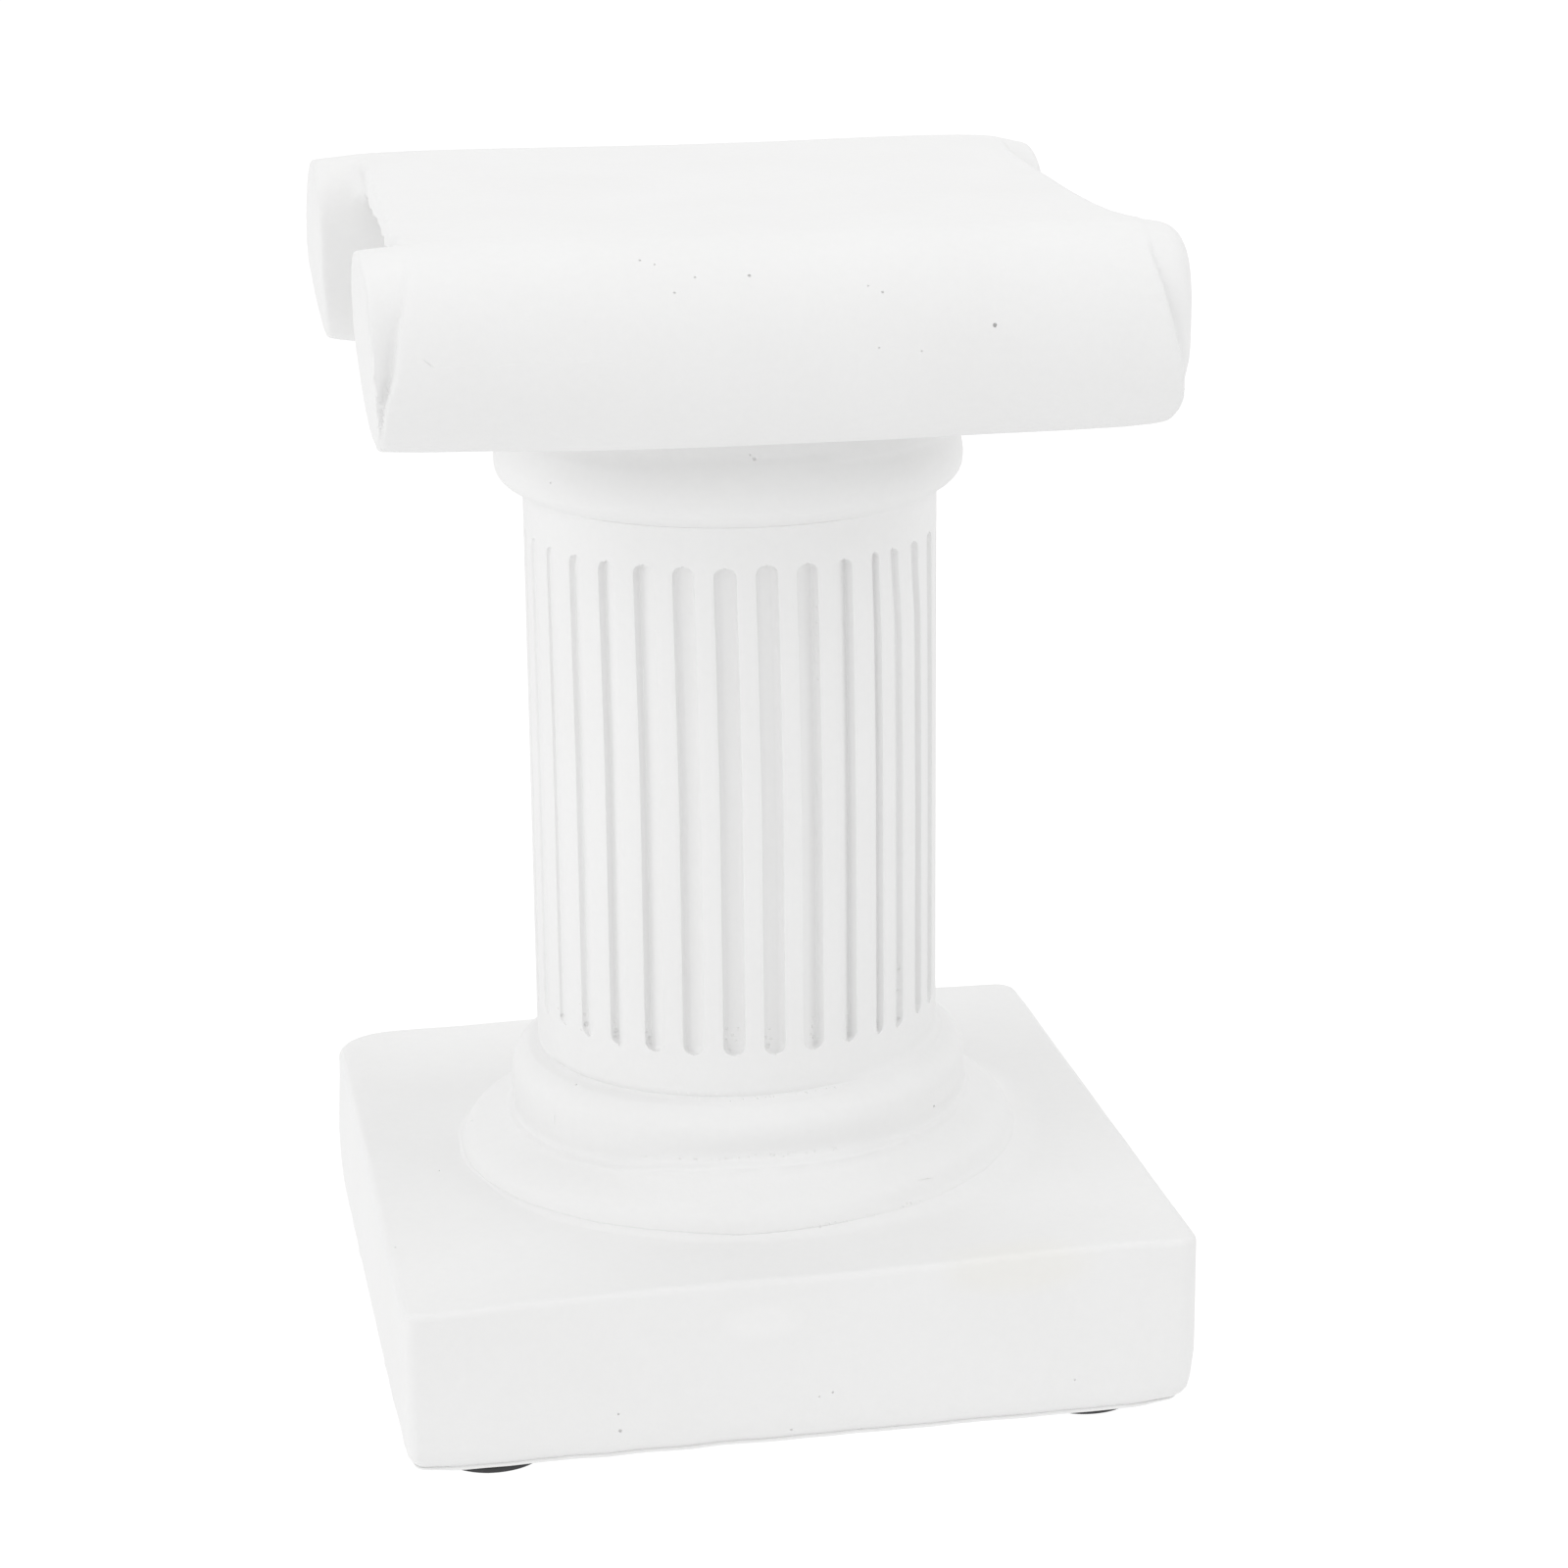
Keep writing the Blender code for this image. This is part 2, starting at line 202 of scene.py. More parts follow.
class Skin:
    """A closed skin made of rings, each ring counter-clockwise from above, from the underside to the top."""

    def __init__(self):
        self.rings, self.angles, self.faces, self.count = [], [], [], 0

    def add(self, pts, angles=None):
        pts = np.asarray(pts, float)
        index = np.arange(self.count, self.count + len(pts))
        self.rings.append(pts)
        self.angles.append(angles)
        self.count += len(pts)
        if len(self.rings) > 1:
            self.join(self.last, index, self.angles[-2], angles)
        self.last = index
        return index

    def join(self, a, b, angles_a, angles_b):
        if len(a) == 1:
            self.faces += [(int(a[0]), int(b[(i + 1) % len(b)]), int(b[i])) for i in range(len(b))]
        elif len(b) == 1:
            self.faces += [(int(a[i]), int(a[(i + 1) % len(a)]), int(b[0])) for i in range(len(a))]
        elif len(a) == len(b):
            n = len(a)
            self.faces += [(int(a[i]), int(a[(i + 1) % n]), int(b[(i + 1) % n]), int(b[i])) for i in range(n)]
        else:
            # rings of unlike counts: walk round both by angle, from the point of b that faces a's first point
            na, nb = len(a), len(b)
            gap = (np.asarray(angles_b) - angles_a[0] + math.pi) % TAU - math.pi
            start = int(np.argmin(np.abs(gap)))
            b = np.roll(b, -start)
            turn_a = np.unwrap(np.append(angles_a, angles_a[0]) - angles_a[0])
            turn_b = np.unwrap(np.append(np.roll(angles_b, -start), angles_b[start]) - angles_b[start]) + gap[start]
            turn_a[-1], turn_b[-1] = TAU, TAU + gap[start]
            i = j = 0
            while i < na or j < nb:
                if j >= nb or (i < na and turn_a[i + 1] <= turn_b[j + 1]):
                    self.faces.append((int(a[i % na]), int(a[(i + 1) % na]), int(b[j % nb])))
                    i += 1
                else:
                    self.faces.append((int(a[i % na]), int(b[(j + 1) % nb]), int(b[j % nb])))
                    j += 1

    def verts(self):
        return np.concatenate(self.rings)


def flute_columns():
    """Offsets across one flute and its lands, as (part of the half width, part of the land) pairs."""
    inner = [0.0, 0.32, 0.60, 0.82, 0.94]
    cols = [(s, 0.0) for s in inner] + [(1.0, 0.0), (1.0, 0.14), (1.0, 0.38), (1.0, 0.68), (1.0, 1.0)]
    side = cols[1:]
    return [(-s, -l) for s, l in reversed(side[:-1])] + cols


def build_lower_body():
    theta = -math.pi + TAU * np.arange(RING) / RING
    cos, sin = np.cos(theta), np.sin(theta)
    skin = Skin()
    z = lambda h: Z_TOP + h

    # underside
    low = -(Z_TOP - Z_UNDER)
    bow = lambda h: float(np.interp(h, *zip(*LEFT_BOW)))
    lean = lambda h: 0.35 * float(smooth(-15.0, -18.5, h))
    plain = outline(0.0, 0.0)
    corner = np.zeros(RING)
    for sx, sy, size, much in ((-1, -1, 6.5, 1.0), (1, -1, 9.0, 1.9), (1, 1, 8.0, 1.4), (-1, 1, 11.0, 1.4)):
        away = np.hypot(plain[:, 0] - sx * PLINTH_LEFT, plain[:, 1] - sy * PLINTH_FRONT)
        corner = np.maximum(corner, much * (1.0 - smooth(0.5, size, away)))
    skin.add([(0, 0, z(low))])
    base = outline(4.5, 0.35)
    for f in (0.25, 0.6, 0.85):
        skin.add(np.column_stack([base * f, np.full(RING, z(low))]))
    # lower edge with its lip of flash, rounder at the corners, then the sides
    rim3 = np.column_stack([plain, np.zeros(RING)])
    for h, ins, more in reversed(LOWER_EDGE):
        inset = ins + more * corner
        top = np.full(RING, h)
        if -22.3 < h < -21.0:
            inset = inset + 0.05 * waves(rim3, 7.0, 61)
            top = top + 0.03 * waves(rim3, 11.0, 62)
        skin.add(np.column_stack([outline(inset, lean(h), bow(h)), z(top)]))
    for h in (-15.5, -13.5, -11.8, -10.0, -8.2, -6.4, -4.8, -3.2, -2.0):
        skin.add(np.column_stack([outline(0.0, lean(h), bow(h)), np.full(RING, z(h))]))
    # upper edge
    for a in (0, 18, 36, 54, 72, 90):
        s, c = math.sin(math.radians(a)), math.cos(math.radians(a))
        o = outline(0.9 * (1 - c), 0.0)
        top = plinth_top(o[:, 0], o[:, 1])
        skin.add(np.column_stack([o, z(top - 0.9 * (1 - s))]))
    # upper face, in to the skirt round the foot of the mouldings
    rim = outline(0.9, 0.0)
    phi = (np.degrees(theta) + 90.0 + 180.0) % 360.0 - 180.0          # from the front, to the right positive
    ring3 = np.column_stack([CREASE_R * cos, CREASE_R * sin, np.zeros(RING)])
    low_front = np.interp(phi, (-40, -22, -10, 6, 23, 50, 90, 140), (0, 0.1, 0.5, 0.4, 0.5, 0.5, 0.4, 0))
    crease = CREASE_H - low_front + FOOT_TILT * CREASE_R * cos + 0.05 * waves(ring3, 9.0, 63)
    rise = crease - plinth_top(CREASE_R * cos, CREASE_R * sin)
    to_right = 0.5 + 0.5 * cos
    foot_r = CREASE_R + 0.25 + (1.45 + 1.9 * to_right) * rise + 0.12 * waves(ring3, 14.0, 64)
    foot = np.column_stack([foot_r * cos, foot_r * sin])
    for f in (0.06, 0.14, 0.25, 0.37, 0.50, 0.62, 0.74, 0.84, 0.91, 0.96, 0.985):
        p = rim + (foot - rim) * f
        skin.add(np.column_stack([p, z(plinth_top(p[:, 0], p[:, 1]))]))
    ang = theta
    for f in (0.0, 0.12, 0.27, 0.43, 0.58, 0.71, 0.82, 0.91, 1.0):
        r = foot_r + (CREASE_R - foot_r) * f
        zz = plinth_top(r * cos, r * sin) + rise * f ** (1.8 + 0.7 * to_right)
        skin.add(np.column_stack([r * cos, r * sin, z(zz)]), ang)
    # the crisp crease, which runs out at the right
    crisp = 1.0 - smooth(5.0, 34.0, phi) * (1.0 - smooth(150.0, 175.0, phi))
    r = CREASE_R - 0.05 * crisp
    skin.add(np.column_stack([r * cos, r * sin, z(crease + 0.04)]), ang)
    # mouldings: the waist between them wanders, and sits lowest at the left
    drop = np.interp(phi, (-180, -120, -63, -42, -27, -10, 6, 23, 45, 90, 150, 180), (2.0, 2.3, 2.6, 2.3, 1.0, 0.6, 0.8, 1.1, 1.15, 1.3, 1.6, 2.0))
    bend = lambda v: smooth(2.4, 6.0, v) * smooth(13.4, 6.6, v)
    for mould_h in (1.15, 1.3, 1.5, 1.8, 2.2, 2.7, 3.3, 3.9, 4.5, 5.1, 5.7, 6.3, 6.9, 7.3, 7.55, 7.75, 7.9, 8.02, 8.14, 8.35, 8.65, 9.0, 9.4, 9.8, 10.25,
                    10.75, 11.25, 11.75, 12.15, 12.5, 12.85, 13.15, 13.45, 13.7, 13.95, 14.15, 14.32, 14.46, 14.58, 14.7, 14.82, 14.98, 15.3, 15.9):
        lo, hi = np.zeros(RING), np.full(RING, mould_h)
        for _ in range(30):
            mid = (lo + hi) / 2
            over = mid + drop * bend(mid) > mould_h
            lo, hi = np.where(over, lo, mid), np.where(over, mid, hi)
        h = (lo + hi) / 2
        r = np.full(RING, float(base_radius(mould_h)))
        r = r - (0.08 + 0.40 * (1 - crisp)) * smooth(4.4, 2.2, mould_h) * smooth(1.02, 1.8, mould_h)
        # at the right the waist is nearly filled
        r = r + 0.55 * smooth(12.0, 50.0, phi) * (1.0 - smooth(140.0, 170.0, phi)) * float(smooth(7.4, 8.5, mould_h) * smooth(11.2, 9.2, mould_h))
        # the lower moulding ends above in a small raised rim with a shallow dip under it
        rim_part = smooth(-55.0, -20.0, phi) * (1.0 - smooth(45.0, 75.0, phi))
        r = r + rim_part * float(0.10 * smooth(7.2, 7.65, mould_h) * smooth(8.1, 7.8, mould_h) - 0.28 * smooth(4.6, 6.2, mould_h) * smooth(7.5, 6.8, mould_h))
        start = crease - CREASE_H
        level = (FOOT_TILT + (NECK_TILT - FOOT_TILT) * h / 15.0) * r * cos
        tilt = start + (level - start) * smooth(1.0, 3.5, h)
        # a rough parting line between the two mouldings
        if 7.5 < mould_h < 8.4:
            P = np.column_stack([r * cos, r * sin, np.full(RING, mould_h)])
            line = waves(P, 2.6, 21) * 0.05 + waves(P, 7.0, 22) * 0.05
            r = r + (0.05 if mould_h < 7.95 else -0.02 if mould_h < 8.12 else -0.04) + 0.6 * line
        # the crease against the shaft is deep at the left and runs out at the right
        deep = 0.5 - 0.5 * cos
        if 14.4 < mould_h < 15.05:
            r = r - 0.16 - 0.26 * deep + 0.34 * smooth(12.0, 40.0, phi) * (1.0 - smooth(150.0, 175.0, phi))
        skin.add(np.column_stack([r * cos, r * sin, z(h + tilt)]), ang)

    # fluted shaft
    cols = flute_columns()
    centre = -math.pi / 2 + TAU * np.arange(FLUTES) / FLUTES
    # start with the flute that begins at or after -180 degrees
    centre = np.sort(np.where(centre + math.pi / FLUTES > math.pi + 1e-9, centre - TAU, centre))
    centre = np.sort(np.where(centre - math.pi / FLUTES < -math.pi - 1e-9, centre + TAU, centre))
    part = np.array([c[0] for c in cols])
    land = np.array([c[1] for c in cols])
    rng = np.random.default_rng(5)
    depth_k = 1.0 + rng.normal(0, 0.05, FLUTES)
    width_k = 1.0 + rng.normal(0, 0.015, FLUTES)
    shift_k = rng.normal(0, 0.035, FLUTES)
    end_k = rng.normal(0, 0.12, FLUTES)

    def shaft_ring(h, tilt_a=0.0):
        over = max(FLUTE_LOW + 1.25 - h, h - (FLUTE_HIGH - 1.25))
        q = np.full(FLUTES, min(max(over / 1.25, 0.0), 1.0))
        own = 0.7 * (end_k * float(smooth(17.5, 20.0, h) * smooth(34.0, 23.0, h)) + end_k[::-1] * float(smooth(70.0, 81.5, h) * smooth(86.5, 84.5, h)))
        k = np.maximum(1 - q ** 2.3, 0.0) ** (1 / 2.3)          # 1 along the flute, 0 at its round end
        half = FLUTE_HALF * width_k * np.maximum(k, 0.12)
        P = np.column_stack([np.cos(centre) * SHAFT_R, np.sin(centre) * SHAFT_R, np.full(FLUTES, h)])
        drift = shift_k + 0.014 * waves(P, 11.0, 31)
        u = part[None, :] * half[:, None] + land[None, :] * (HALF_PITCH - half[:, None])
        u = u + drift[:, None] * (1 - np.abs(u) / HALF_PITCH)
        turn = (np.degrees(centre) + 270.0) % 360.0 - 180.0
        deep = np.interp(turn, *zip(*FLUTE_DEEP)) * depth_k * np.maximum(k, 1e-6) ** 0.55 * (k > 0)
        # steep walls and a flatter bottom in front; towards the sides the wall nearer the front runs out in a slope
        slope = np.clip((turn + 10.0) / 34.0, -1, 1) * (1.0 - smooth(100.0, 135.0, np.abs(turn)))
        s = np.abs(part)[None, :]
        t = part[None, :] * np.sign(slope)[:, None]
        even = np.maximum(1 - s ** 3.2, 0.0) ** (1 / 3.2)
        sloped = np.clip((t + 1) / 1.75, 0, 1) ** 1.6 * np.maximum(1 - np.clip(t, 0, 1) ** 5, 0.0) ** (1 / 5)
        much = np.abs(slope)[:, None]
        cut = deep[:, None] * (even * (1 - much) + sloped * much)
        edge = np.isclose(np.abs(part), 1.0) & np.isclose(np.abs(land), 0.0)
        near = np.isclose(np.abs(land), 0.14)
        cut = np.where(edge[None, :], 0.09 * k[:, None] * np.where(t < 0, 1 - 0.85 * much, 1.0), cut)
        cut = np.where(np.isclose(np.abs(part), 1.0)[None, :] & ~edge[None, :], 0.0, cut)
        cut = np.where(near[None, :], 0.015 * k[:, None], cut)
        a = centre[:, None] + u / SHAFT_R
        place = (np.degrees(a) + 270.0) % 360.0 - 180.0
        a = a + np.radians(np.interp(place, *zip(*FLUTE_OUT)) + float(smooth(73.0, 82.5, h)) * np.interp(place, *zip(*FLUTE_OUT_ABOVE)))
        a = a + math.radians(0.7) * float(smooth(84.0, 50.0, h))      # a slight twist of the whole shaft
        r = SHAFT_R - cut
        a, r = a.ravel(), r.ravel()
        t = tilt_a * r * np.cos(a)
        return np.column_stack([r * np.cos(a), r * np.sin(a), z(h + t + np.repeat(own, len(part)))]), a

    rows = [16.6, 17.6, 18.6, 19.4, 19.85]
    e = FLUTE_LOW
    rows += [e - 0.12, e + 0.004, e + 0.03, e + 0.09, e + 0.18, e + 0.3, e + 0.45, e + 0.68, e + 0.98, e + 1.35, e + 1.8]
    rows += list(np.linspace(e + 2.6, FLUTE_HIGH - 2.6, 27))
    e = FLUTE_HIGH
    rows += [e - 1.8, e - 1.35, e - 0.98, e - 0.68, e - 0.45, e - 0.3, e - 0.18, e - 0.09, e - 0.03, e - 0.004, e + 0.12]
    rows += [84.4, 85.3, 86.4, 87.4]
    for h in rows:
        ta = NECK_TILT * float(smooth(20.0, 15.0, h))
        pts, a = shaft_ring(h, ta)
        skin.add(pts, a)

    # neck, echinus, and the collar under the capital
    right = smooth(-73.6, -72.6, np.degrees(theta)) * smooth(150.0, 100.0, np.degrees(theta))
    neck = [(26.55, 88.1), (26.70, 88.5), (26.92, 88.78), (27.10, 88.95), (27.13, 89.02), (27.07, 89.07), (27.10, 89.14), (27.28, 89.22),
            (27.6, 89.38), (28.15, 89.68), (28.8, 90.12), (29.3, 90.6), (29.65, 91.1), (29.9, 91.75), (29.98, 92.5), (30.0, 93.2), (29.93, 93.9), (29.78, 94.6),
            (29.6, 95.3), (29.35, 96.0), (29.12, 96.6)]
    for r, h in neck:
        off = -0.14 * float(smooth(88.5, 91.0, h))
        plain_r = float(np.interp(h, (88.1, 88.5, 88.8, 89.1, 89.4, 89.68, 90.12, 90.2), (26.55, 26.70, 26.9, 27.22, 27.62, 28.1, 28.8, 28.9)))
        if h < 90.15:
            r = r + (plain_r - r) * np.maximum(smooth(14.0, 42.0, phi), 0.7 * smooth(-42.0, -62.0, phi) + 0.3 * smooth(-75.0, -92.0, phi)) * (1.0 - smooth(140.0, 170.0, phi))
        skin.add(np.column_stack([r * cos + off, r * sin, np.full(RING, z(h))]), ang)
    ledge = [(29.0, 96.95), (28.88, 97.25), (28.74, 97.55), (28.62, 97.9), (28.53, 98.35), (28.47, 99.0), (28.44, 100.0), (28.4, 101.5),
             (28.4, 106.0), (28.4, 112.0), (28.4, 118.0), (28.4, 124.6)]
    for r, h in ledge:
        full = np.interp(h, (96.6, 97.2, 98.0, 99.0, 100.5, 102.5, 124.6), (29.12, 28.98, 28.82, 28.68, 28.55, 28.45, 28.4))
        rr = r + (full - r) * right
        skin.add(np.column_stack([rr * cos, rr * sin, np.full(RING, z(h))]), ang)
    skin.add([(0, 0, z(124.6))])
    verts = skin.verts()
    return verts, skin.faces


# ------------------------------------------------------------------ capital, as a field of distances
CX = -1.3                        # middle of the capital
AXIS_Y, AXIS_H = 37.75, 114.5
BOLSTER_R = 12.45
UNDER_FRONT = ((-49, 103.3), (-48, 103.15), (-43, 102.85), (-35, 102.6), (-29.5, 102.35), (-24, 102.1), (-12, 101.85), (11, 101.72),
               (24, 101.8), (34, 101.8), (41, 101.9), (44.3, 102.1), (46.4, 102.4), (48.0, 103.1))
UNDER_BACK = ((-50, 103.4), (-48, 103.06), (-47, 102.75), (-45.7, 102.56), (-44.2, 102.36), (-38, 102.2), (38, 102.2), (45, 102.5), (49, 103.2))
TOP_BACK = ((-50, 126.7), (-46, 126.9), (-41, 127.15), (-36, 127.25), (-30, 127.25), (-18, 127.1), (0, 126.86), (14, 126.86), (19, 126.92),
            (27, 127.0), (35, 127.0), (39, 126.9), (43.5, 126.7), (46.3, 126.32), (48.4, 125.9), (50, 125.6))
# where the rolled sheet's edge lies at each turn angle: 0 faces outwards, 90 is on top; past the end it is flush
EDGE_LEFT = ((-180, 43.5), (-125, 43.5), (-95, 46.9), (-75, 46.8), (-47, 46.75), (-35, 46.7), (-21.5, 46.55), (-16, 46.25), (-10, 45.95), (-5, 45.7), (5, 45.35),
             (15, 45.05), (25, 44.6), (33, 44.2), (42, 43.9), (51, 43.6), (63, 43.5), (90, 43.5), (180, 43.5))
EDGE_RIGHT = ((-180, 44.4), (-125, 44.4), (-95, 47.9), (-75, 47.9), (-60, 47.7), (-40, 47.6), (-27, 47.2), (-17, 46.75), (-7, 46.2), (3, 45.65), (13, 45.1),
              (24, 44.65), (32, 44.4), (40, 44.05), (49, 43.85), (60, 43.9), (69, 44.0), (79, 44.25), (90, 44.4), (180, 44.4))
# the end faces, by height
END_FRONT_LEFT = ((100.0, 46.6), (101.9, 46.95), (107.0, 47.38), (114.5, 47.95), (120.0, 48.2), (126.8, 48.45), (130.0, 48.5))
END_FRONT_RIGHT = ((100.0, 47.0), (104.0, 47.5), (107.0, 47.9), (110.2, 48.1), (111.6, 48.25), (114.3, 48.28), (117.0, 48.42), (119.9, 48.65),
                   (121.3, 48.8), (122.7, 48.95), (125.4, 49.15), (130.0, 49.2))
END_BACK_LEFT = ((101.0, 46.5), (102.65, 46.65), (105.0, 46.95), (107.0, 47.25), (109.7, 47.55), (111.7, 47.82), (113.7, 47.85), (116.3, 47.85),
                 (118.9, 47.8), (121.5, 47.7), (126.1, 47.6), (130.0, 47.55))
END_BACK_RIGHT = ((101.0, 47.2), (107.0, 48.2), (114.5, 49.2), (120.0, 49.8), (126.8, 49.95), (130.0, 49.95))
SLAB_RIGHT = ((-37.8, 44.4), (-35.6, 43.5), (-31.3, 42.5), (-25, 42.0), (-15, 41.9), (-8, 42.1), (2, 42.45), (10, 42.7), (18, 43.1), (26, 43.8),
              (33, 44.8), (37.8, 45.8))
SLAB_LEFT = ((-37.8, 44.9), (-27, 44.7), (-18, 44.4), (-13, 44.1), (-4, 43.8), (3, 43.8), (12, 43.6), (20, 43.1), (27, 42.8), (33, 43.5), (37.8, 45.0))


def table(pairs, x):
    a, b = zip(*pairs)
    return np.interp(x, a, b)


def scroll(x, y, h, side):
    """Distance to one scroll, with its sheet's edge, the hollow beyond it and the end face."""
    xr = x - CX
    right = xr > 0
    ax = np.abs(xr)
    out = side * y - AXIS_Y
    up = h - AXIS_H
    if side < 0:
        low = AXIS_H - table(UNDER_FRONT, x)
        top = np.full_like(x, 126.95 - AXIS_H) + 0.02 * np.sin(x / 9.0)
        end_x = np.where(right, table(END_FRONT_RIGHT, h), table(END_FRONT_LEFT, h))
        edge_soft = np.where(right, 2.6, 0.6)
    else:
        low = AXIS_H - table(UNDER_BACK, x)
        top = table(TOP_BACK, x) - AXIS_H
        end_x = np.where(right, table(END_BACK_RIGHT, h), table(END_BACK_LEFT, h))
        edge_soft = np.where(right, 0.9, 0.6)
    vert = np.where(up < 0, low, top)
    q = np.sqrt((out / BOLSTER_R) ** 2 + (up / vert) ** 2)
    phi = np.degrees(np.arctan2(up / vert, out / BOLSTER_R))
    cyl = (q - 1) * BOLSTER_R
    inward = np.maximum(smooth(58.0, 96.0, phi), smooth(-85.0, -110.0, phi))
    taper = np.where(right, 0.8 * np.clip((ax - 43.0) / 5.3, 0, 1) ** 1.4,
                     (0.95 if side < 0 else 0.25) * np.clip((ax - 41.0) / 7.2, 0, 1) ** 1.2)
    if side > 0:
        taper = taper * np.where(right, 0.5, 1.0)
    else:
        taper = taper * np.where(right, 1.0, 1 - 0.75 * smooth(75.0, 35.0, phi) * smooth(-90.0, -60.0, phi))
        top_taper = np.where(right, np.interp(ax, (41.5, 43.0, 45.0, 47.5, 49.0), (0, 0.12, 0.45, 0.85, 1.0)),
                             np.interp(ax, (40.0, 42.5, 44.7, 46.0, 47.2, 48.5), (0, 0.2, 0.42, 0.5, 0.6, 0.7)))
        taper = taper + (top_taper - taper) * inward
    cyl = cyl + taper * inward
    edge = np.minimum(np.where(right, table(EDGE_RIGHT, phi), table(EDGE_LEFT, phi)), end_x)
    # the lip is softly rounded, less so below
    lip_soft = np.where(right, 0.5, 0.4 + 0.5 * smooth(-25.0, 5.0, phi))
    sheet = smax(cyl, (ax - edge) * 0.95, lip_soft)
    end = ax - end_x
    sheet = smax(sheet, end, 0.3)
    # the rolled end: flush on top and on the inner side, hollowed in beside the sheet's edge on the outer side
    outer = smooth(88.0, 40.0, phi) * 0.12 + smooth(70.0, 12.0, phi) * 0.88
    outer = outer * smooth(-100.0, -60.0, phi) * smooth(115.0, 85.0, phi)
    room = np.maximum(end_x - edge, 0.25)
    t = np.clip((end_x - ax) / room, 0.0, 1.25)
    hollow = np.where(right, np.interp(t, (0.0, 0.3, 0.7, 1.0, 1.25), (0.45, 0.75, 0.97, 1.0, 1.0)),
                      np.interp(t, (0.0, 0.12, 0.3, 0.5, 0.7, 0.85, 1.0, 1.25), (0.0, 0.05, 0.28, 0.62, 0.92, 1.0, 0.92, 0.85)))
    depth = np.where(right, 0.85 + 0.35 * smooth(38.0, 8.0, phi), 1.15) * np.where(right, smooth(0.1, 3.0, room), smooth(0.0, 1.9, room))
    core_cyl = (q - 1) * BOLSTER_R + taper + depth * outer * hollow
    core = smax(core_cyl, end * 0.985, edge_soft)
    soft = 0.02 + 0.25 * outer
    return smin(sheet, core, soft) + 0.25 * soft * np.clip(1 - np.abs(sheet - core) / soft, 0, 1) ** 2


def capital_field(P):
    x, y, h = P[:, 0], P[:, 1], P[:, 2] - Z_TOP
    front = scroll(x, y, h, -1)
    back = scroll(x, y, h, 1)
    # slab between the scrolls
    t = np.clip((y + AXIS_Y) / (2 * AXIS_Y), 0, 1)
    top = (126.95 + 0.02 * np.sin(x / 9.0)) * (1 - t) + table(TOP_BACK, x) * t - 0.03
    Q = np.column_stack([x, y, np.zeros_like(x)])
    ragged = smooth(-38.0, -43.5, x) * (0.28 * waves(Q, 6.0, 41) + 0.14 * waves(Q, 2.6, 42) + 0.45)
    under = 123.2 + ragged + 0.1 * waves(Q, 15.0, 43)
    right_edge = x - table(SLAB_RIGHT, y)
    left_edge = -x - table(SLAB_LEFT, y) - 0.10 * waves(np.column_stack([y, h, 0 * y]), 5.0, 44)
    slab = smax(h - top, right_edge, 2.2)
    slab = smax(slab, left_edge, 1.1)
    slab = smax(slab, under - h, 0.35)
    slab = np.maximum(slab, np.abs(y) - AXIS_Y)
    k = np.where(h > 125.4, 0.12, 1.0)
    # the slab's left end runs softly into the rear scroll
    k = k + (2.2 - k) * smooth(-40.5, -42.5, x) * smooth(14.0, 22.0, y) * smooth(36.0, 32.0, y)
    field = smin(np.minimum(front, back), slab, k)
    return field


def surface_nets(field, low, high, step):
    """Quad mesh of the surface where the field is zero, on a regular grid."""
    low, high = np.array(low, float), np.array(high, float)
    n = np.ceil((high - low) / step).astype(int) + 1
    xs, ys, zs = (low[i] + step * np.arange(n[i]) for i in range(3))
    F = np.empty(n, np.float32)
    X, Y = np.meshgrid(xs, ys, indexing="ij")
    flat = np.column_stack([X.ravel(), Y.ravel(), np.zeros(X.size)])
    for k, zv in enumerate(zs):
        flat[:, 2] = zv
        F[:, :, k] = field(flat).reshape(n[0], n[1])
    S = F < 0
    c = [S[i:n[0] - 1 + i, j:n[1] - 1 + j, k:n[2] - 1 + k] for i in (0, 1) for j in (0, 1) for k in (0, 1)]
    any_in = np.logical_or.reduce(c)
    all_in = np.logical_and.reduce(c)
    active = any_in & ~all_in
    cells = np.argwhere(active)
    number = np.full(active.shape, -1, np.int64)
    number[tuple(cells.T)] = np.arange(len(cells))
    total = np.zeros((len(cells), 3))
    count = np.zeros(len(cells))
    for axis in range(3):
        others = [a for a in range(3) if a != axis]
        for da in (0, 1):
            for db in (0, 1):
                p0 = cells.copy()
                p0[:, others[0]] += da
                p0[:, others[1]] += db
                p1 = p0.copy()
                p1[:, axis] += 1
                f0, f1 = F[tuple(p0.T)], F[tuple(p1.T)]
                hit = (f0 < 0) != (f1 < 0)
                t = np.where(hit, f0 / np.where(hit, f0 - f1, 1), 0)
                pos = p0.astype(float)
                pos[:, axis] += t
                total += np.where(hit[:, None], pos, 0)
                count += hit
    verts = low + step * total / count[:, None]
    quads = []
    for axis in range(3):
        a, b = [(1, 2), (2, 0), (0, 1)][axis]
        lo = [slice(None)] * 3
        hi = [slice(None)] * 3
        lo[axis], hi[axis] = slice(0, -1), slice(1, None)
        change = S[tuple(lo)] != S[tuple(hi)]
        idx = np.argwhere(change)
        ok = (idx[:, a] > 0) & (idx[:, b] > 0) & (idx[:, a] < n[a] - 1) & (idx[:, b] < n[b] - 1)
        idx = idx[ok]
        ring = []
        for da, db in ((-1, -1), (0, -1), (0, 0), (-1, 0)):
            q = idx.copy()
            q[:, a] += da
            q[:, b] += db
            ring.append(number[tuple(q.T)])
        ring = np.stack(ring, axis=1)
        inside_low = S[tuple(idx.T)]
        ring[~inside_low] = ring[~inside_low][:, ::-1]
        quads.append(ring)
    return verts, np.concatenate(quads)


